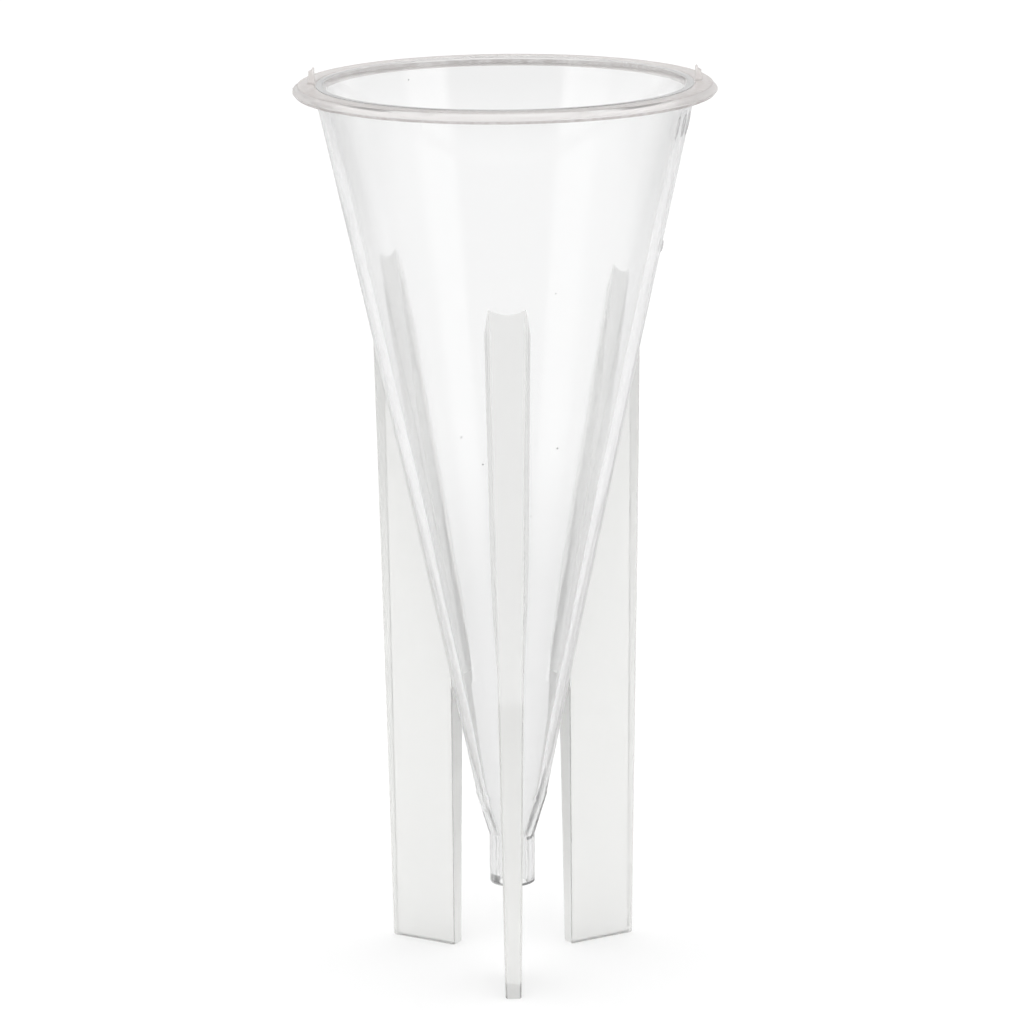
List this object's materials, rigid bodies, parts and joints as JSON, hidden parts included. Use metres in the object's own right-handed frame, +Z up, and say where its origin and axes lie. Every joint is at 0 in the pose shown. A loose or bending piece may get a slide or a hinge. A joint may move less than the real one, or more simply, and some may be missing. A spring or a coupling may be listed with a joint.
{
  "type": "funnel",
  "caption": "Small clear conical funnel with a thick rim ring and a short spout tube, standing upright on radial fin legs.",
  "frame": {"origin": "on the ground, on the funnel's axis, at the centre of the circle that the feet stand on", "axes": "+Z up along the cone's axis, from the spout to the mouth; the front leg points along -Y and +X is to the right of a viewer who faces the front leg"},
  "size_m": [0.066, 0.066, 0.1447],
  "materials": {
    "clear_wall": "clear moulded plastic, glossy, faint flow marks",
    "milky_rim": "thick clear plastic that looks milky, soft gloss",
    "milky_legs": "thick clear plastic that looks milky, satin faces, glossy edges"
  },
  "bodies": {
    "root": {"cone_wall": "clear_wall", "spout_tube": "clear_wall", "rim_ring": "milky_rim", "rim_stub_left": "milky_rim", "rim_stub_right": "milky_rim", "leg_front": "milky_legs", "leg_rear_left": "milky_legs", "leg_rear_right": "milky_legs"}
  },
  "joints": []
}
